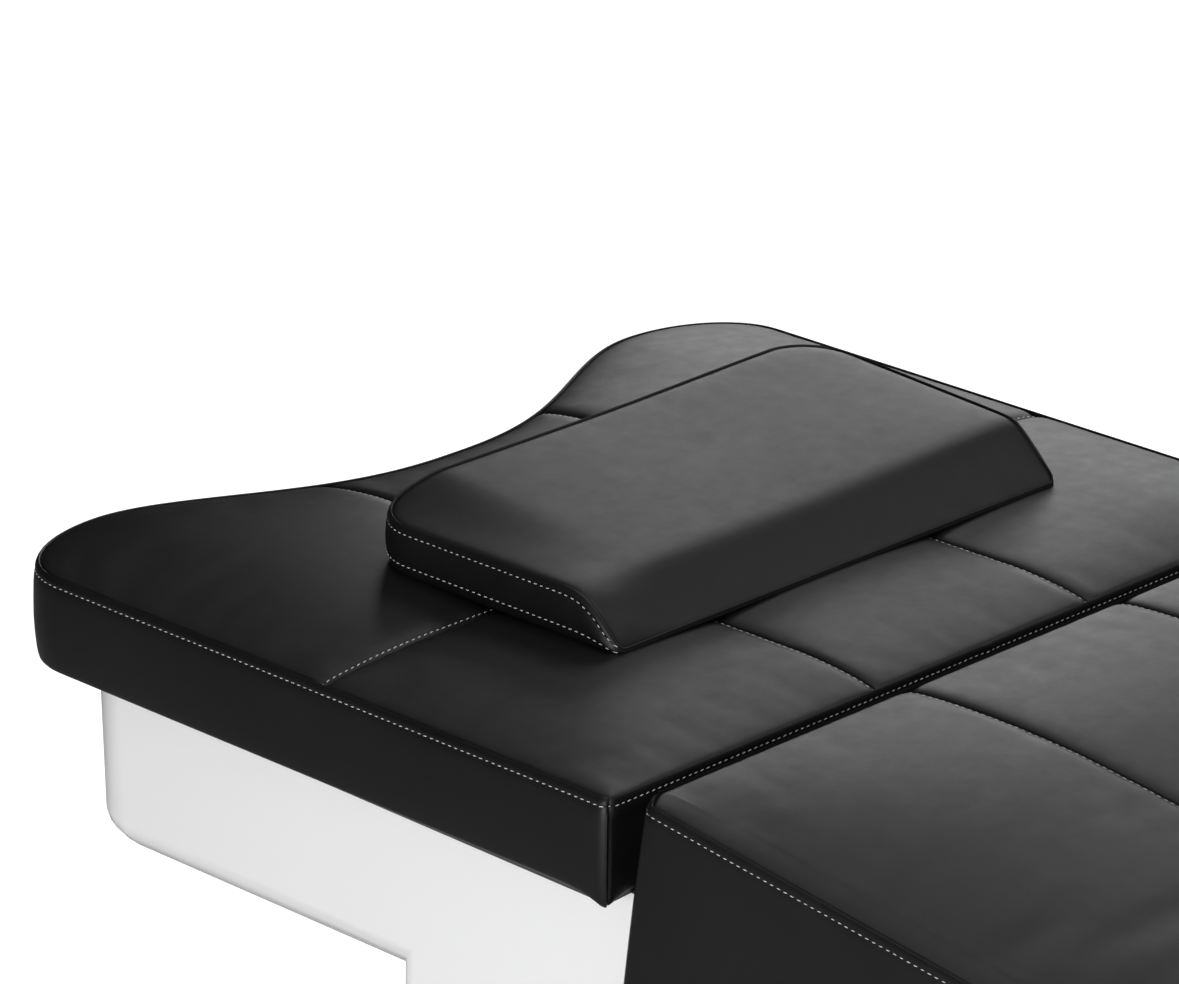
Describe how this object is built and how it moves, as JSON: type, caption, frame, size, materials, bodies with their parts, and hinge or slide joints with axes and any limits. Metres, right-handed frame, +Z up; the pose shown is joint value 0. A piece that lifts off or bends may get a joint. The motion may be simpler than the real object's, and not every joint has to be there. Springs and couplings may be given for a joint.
{
  "type": "head spa bed",
  "caption": "Electric head spa bed: scalloped head cushion with a loose wedge pillow, sloping body and leg sections on a column-lifted base in a white shell.",
  "frame": {"origin": "centre of the bounding box in plan, on the floor plane under the four levelling feet", "axes": "+Z up, +Y towards the head end along the bed, +X across the bed"},
  "size_m": [0.78, 2.016, 0.7431],
  "materials": {
    "leatherette": "satin",
    "white_shell": "gloss",
    "frame_steel": "satin",
    "plated_steel": "satin",
    "column_aluminium": "satin",
    "plywood": "matte",
    "rubber": "matte",
    "nylon": "satin",
    "housing_plastic": "matte"
  },
  "bodies": {
    "base": {"base_frame": "frame_steel", "plinth_cover": "white_shell", "levelling_foot_head_left": "rubber", "levelling_foot_head_right": "rubber", "levelling_foot_foot_left": "rubber", "levelling_foot_foot_right": "rubber", "column_outer_head": "column_aluminium", "column_outer_foot": "column_aluminium", "lift_drive_head": "housing_plastic", "lift_drive_foot": "housing_plastic", "control_box": "housing_plastic", "power_inlet": "housing_plastic"},
    "column_middle": {"column_middle_head": "column_aluminium", "column_middle_foot": "column_aluminium"},
    "carriage": {"lift_frame": "frame_steel", "upper_shell": "white_shell", "hinge_shaft": "plated_steel", "rest_buffer_left": "rubber", "rest_buffer_right": "rubber", "column_inner_head": "column_aluminium", "column_inner_foot": "column_aluminium"},
    "head_section": {"head_cushion": "leatherette", "head_board": "plywood", "head_frame": "frame_steel", "head_bush_left": "nylon", "head_bush_right": "nylon"},
    "pillow": {"pillow": "leatherette"},
    "body_section": {"body_cushion": "leatherette", "body_board": "plywood", "body_side_panel_left": "leatherette", "body_side_panel_right": "leatherette", "body_frame": "frame_steel", "body_bush_left": "nylon", "body_bush_right": "nylon", "leg_hinge_pin_left": "plated_steel", "leg_hinge_pin_right": "plated_steel"},
    "leg_section": {"leg_cushion": "leatherette", "leg_board": "plywood", "leg_frame": "frame_steel", "leg_bush_left": "nylon", "leg_bush_right": "nylon"},
    "head_actuator_tube": {"head_actuator_tube": "housing_plastic", "head_actuator_rear_pin": "plated_steel"},
    "head_actuator_rod": {"head_actuator_rod": "plated_steel", "head_actuator_front_pin": "plated_steel"},
    "tilt_actuator_tube": {"tilt_actuator_tube": "housing_plastic", "tilt_actuator_rear_pin": "plated_steel"},
    "tilt_actuator_rod": {"tilt_actuator_rod": "plated_steel", "tilt_actuator_front_pin": "plated_steel"},
    "leg_actuator_tube": {"leg_actuator_tube": "housing_plastic", "leg_actuator_rear_pin": "plated_steel"},
    "leg_actuator_rod": {"leg_actuator_rod": "plated_steel", "leg_actuator_front_pin": "plated_steel"}
  },
  "joints": [
    {"name": "lift", "type": "slide", "parent": "base", "child": "carriage", "axis": [0, 0, 1], "range_m": [0, 0.2]},
    {"name": "lift_middle_stage", "type": "slide", "parent": "base", "child": "column_middle", "axis": [0, 0, 1], "range_m": [0, 0.1]},
    {"name": "head_raise", "type": "hinge", "parent": "carriage", "child": "head_section", "pos_m": [0, 0.371, 0.644], "axis": [1, 0, 0], "range_deg": [0, 35]},
    {"name": "body_tilt", "type": "hinge", "parent": "carriage", "child": "body_section", "pos_m": [0, 0.371, 0.644], "axis": [1, 0, 0], "range_deg": [-7.3, 5]},
    {"name": "leg_lower", "type": "hinge", "parent": "body_section", "child": "leg_section", "pos_m": [0, -0.384, 0.50141], "axis": [1, 0, 0], "range_deg": [-10, 50]},
    {"name": "pillow_lift_off", "type": "slide", "parent": "head_section", "child": "pillow", "axis": [0, 0, 1], "range_m": [0, 0.3]},
    {"name": "head_actuator_swing", "type": "hinge", "parent": "carriage", "child": "head_actuator_tube", "pos_m": [-0.12, -0.079, 0.408], "axis": [1, 0, 0], "range_deg": [-2.62, 0]},
    {"name": "head_actuator_stroke", "type": "slide", "parent": "head_actuator_tube", "child": "head_actuator_rod", "axis": [0, 0.9595, 0.2818], "range_m": [0, 0.0695]},
    {"name": "tilt_actuator_swing", "type": "hinge", "parent": "carriage", "child": "tilt_actuator_tube", "pos_m": [0.12, 0.786, 0.51], "axis": [1, 0, 0], "range_deg": [-0.03, 0.021]},
    {"name": "tilt_actuator_stroke", "type": "slide", "parent": "tilt_actuator_tube", "child": "tilt_actuator_rod", "axis": [0, -0.9999, -0.0121], "range_m": [-0.0122, 0.0178]},
    {"name": "leg_actuator_swing", "type": "hinge", "parent": "body_section", "child": "leg_actuator_tube", "pos_m": [0, 0.12581, 0.51177], "axis": [1, 0, 0], "range_deg": [-0.061, 0.301]},
    {"name": "leg_actuator_stroke", "type": "slide", "parent": "leg_actuator_tube", "child": "leg_actuator_rod", "axis": [0, -0.9902, -0.1394], "range_m": [-0.0572, 0.0115]}
  ],
  "couplings": [
    {"joint": "lift_middle_stage", "follows": "lift", "ratio": 0.5},
    {"joint": "head_actuator_swing", "follows": "head_raise", "ratio": -0.07469},
    {"joint": "head_actuator_stroke", "follows": "head_raise", "m_per_rad": 0.1136},
    {"joint": "tilt_actuator_swing", "follows": "body_tilt", "ratio": 0.00404},
    {"joint": "tilt_actuator_stroke", "follows": "body_tilt", "m_per_rad": -0.13936},
    {"joint": "leg_actuator_swing", "follows": "leg_lower", "ratio": 0.006},
    {"joint": "leg_actuator_stroke", "follows": "leg_lower", "m_per_rad": -0.0655}
  ]
}
